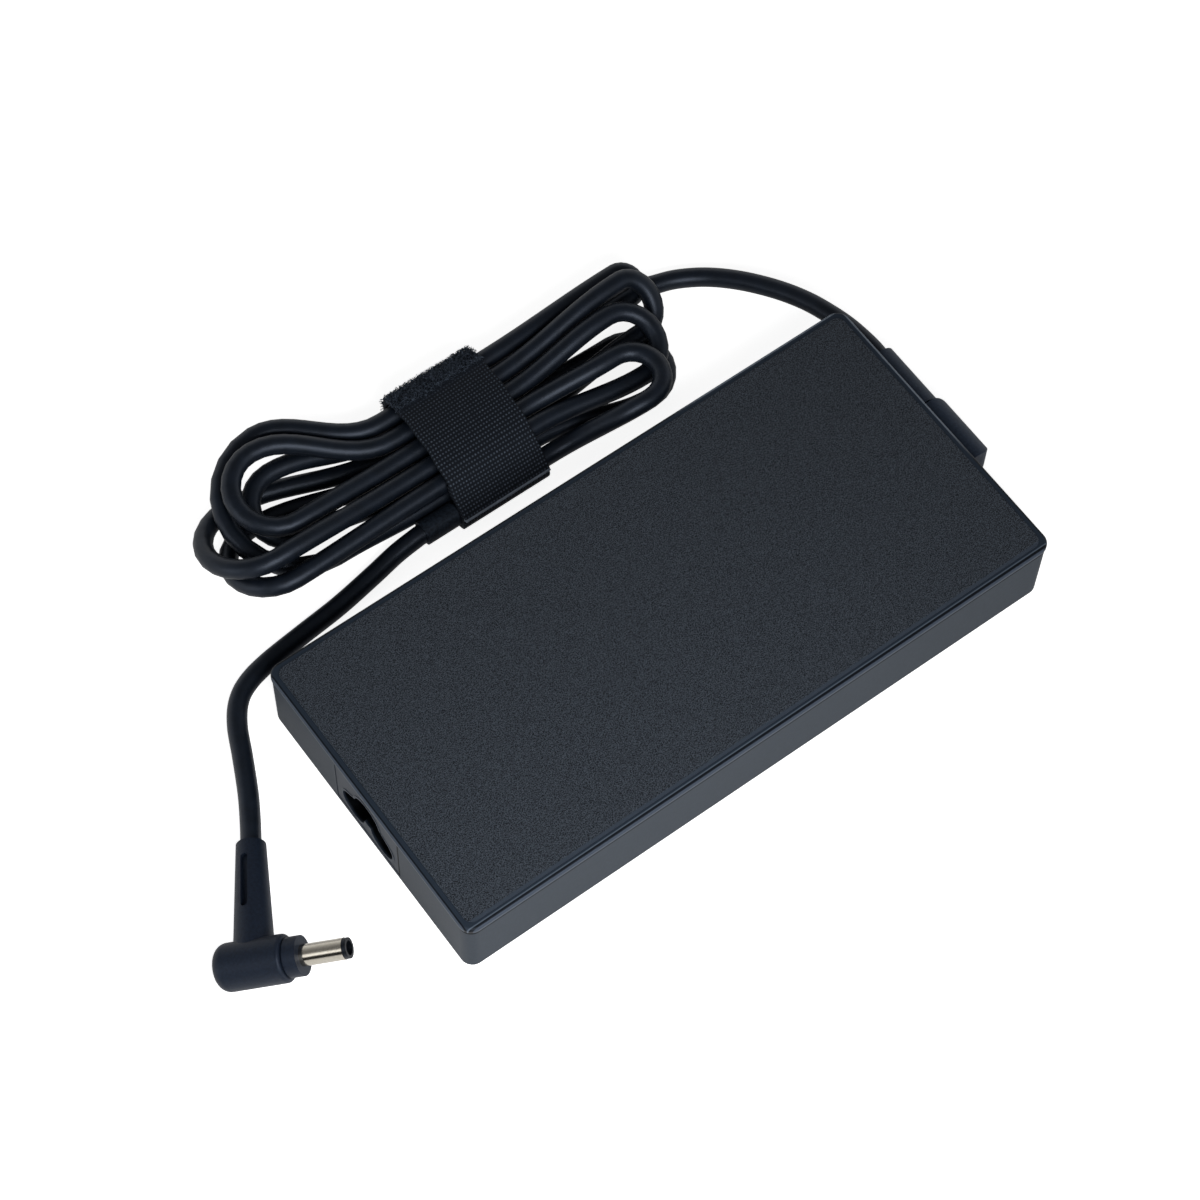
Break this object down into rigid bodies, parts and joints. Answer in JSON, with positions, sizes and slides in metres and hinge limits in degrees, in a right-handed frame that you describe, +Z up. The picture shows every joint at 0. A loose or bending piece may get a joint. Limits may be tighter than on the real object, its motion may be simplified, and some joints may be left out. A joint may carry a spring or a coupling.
{
  "type": "laptop power adapter",
  "caption": "Slim laptop power adapter: mains inlet at one end, output cord tied in a hank with a hook-and-loop strap, right-angle barrel plug.",
  "frame": {"origin": "centre of the case's underside", "axes": "+X along the case from the mains inlet to the output cord, +Z up from the table; the hank lies on the +Y side"},
  "size_m": [0.2009, 0.1261, 0.0195],
  "materials": {
    "case": "black moulded ABS blend, fine stipple on the top field, satin sides",
    "inlet": "black moulded nylon",
    "contact": "nickel-plated brass",
    "cord": "black PVC sheath, satin",
    "relief": "black overmoulded PVC, satin",
    "plug": "black overmoulded PVC, satin",
    "insulator": "black nylon",
    "strap": "woven nylon hook-and-loop tape, black",
    "board": "green solder mask on glass laminate",
    "liner": "insulating board",
    "aluminium": "mill finish",
    "pad": "silicone pad",
    "wire": "insulated hook-up wire",
    "ferrite": "ferrite core",
    "winding": "enamelled copper wire",
    "bobbin": "moulded phenolic",
    "package": "epoxy moulding",
    "capacitor": "sleeved aluminium can",
    "film_part": "epoxy-coated film part",
    "fuse": "moulded box fuse",
    "varistor": "coated zinc oxide disc",
    "thermistor": "coated oxide disc"
  },
  "bodies": {
    "root": {"top_cover": "case", "bottom_cover": "case", "inlet_housing": "inlet", "inlet_line_pin": "contact", "inlet_neutral_pin": "contact", "inlet_earth_pin": "contact", "strain_relief": "relief", "cord_case_run": "cord", "cord_hank": "cord", "cord_plug_run": "cord", "cord_strap": "strap", "strap_keeper": "strap", "plug_body": "plug", "plug_collar": "plug", "plug_barrel": "contact", "plug_insulator": "insulator", "plug_center_pin": "contact", "circuit_board": "board", "insulating_liner": "liner", "heat_spreader": "aluminium", "thermal_pads": "pad", "mains_wires": "wire", "mains_fuse": "fuse", "surge_varistor": "varistor", "inrush_thermistor": "thermistor", "filter_choke_cores": "ferrite", "filter_choke_windings": "winding", "filter_capacitors": "film_part", "bridge_rectifier": "package", "boost_inductor": "film_part", "bulk_capacitor": "capacitor", "primary_switch": "package", "primary_heat_sink": "aluminium", "transformer_core": "ferrite", "transformer_bobbin": "bobbin", "transformer_winding": "winding", "output_rectifier": "package", "output_heat_sink": "aluminium", "output_capacitors": "capacitor", "output_choke": "ferrite", "optocoupler": "bobbin", "control_chips": "package", "output_wires": "wire"}
  },
  "joints": []
}
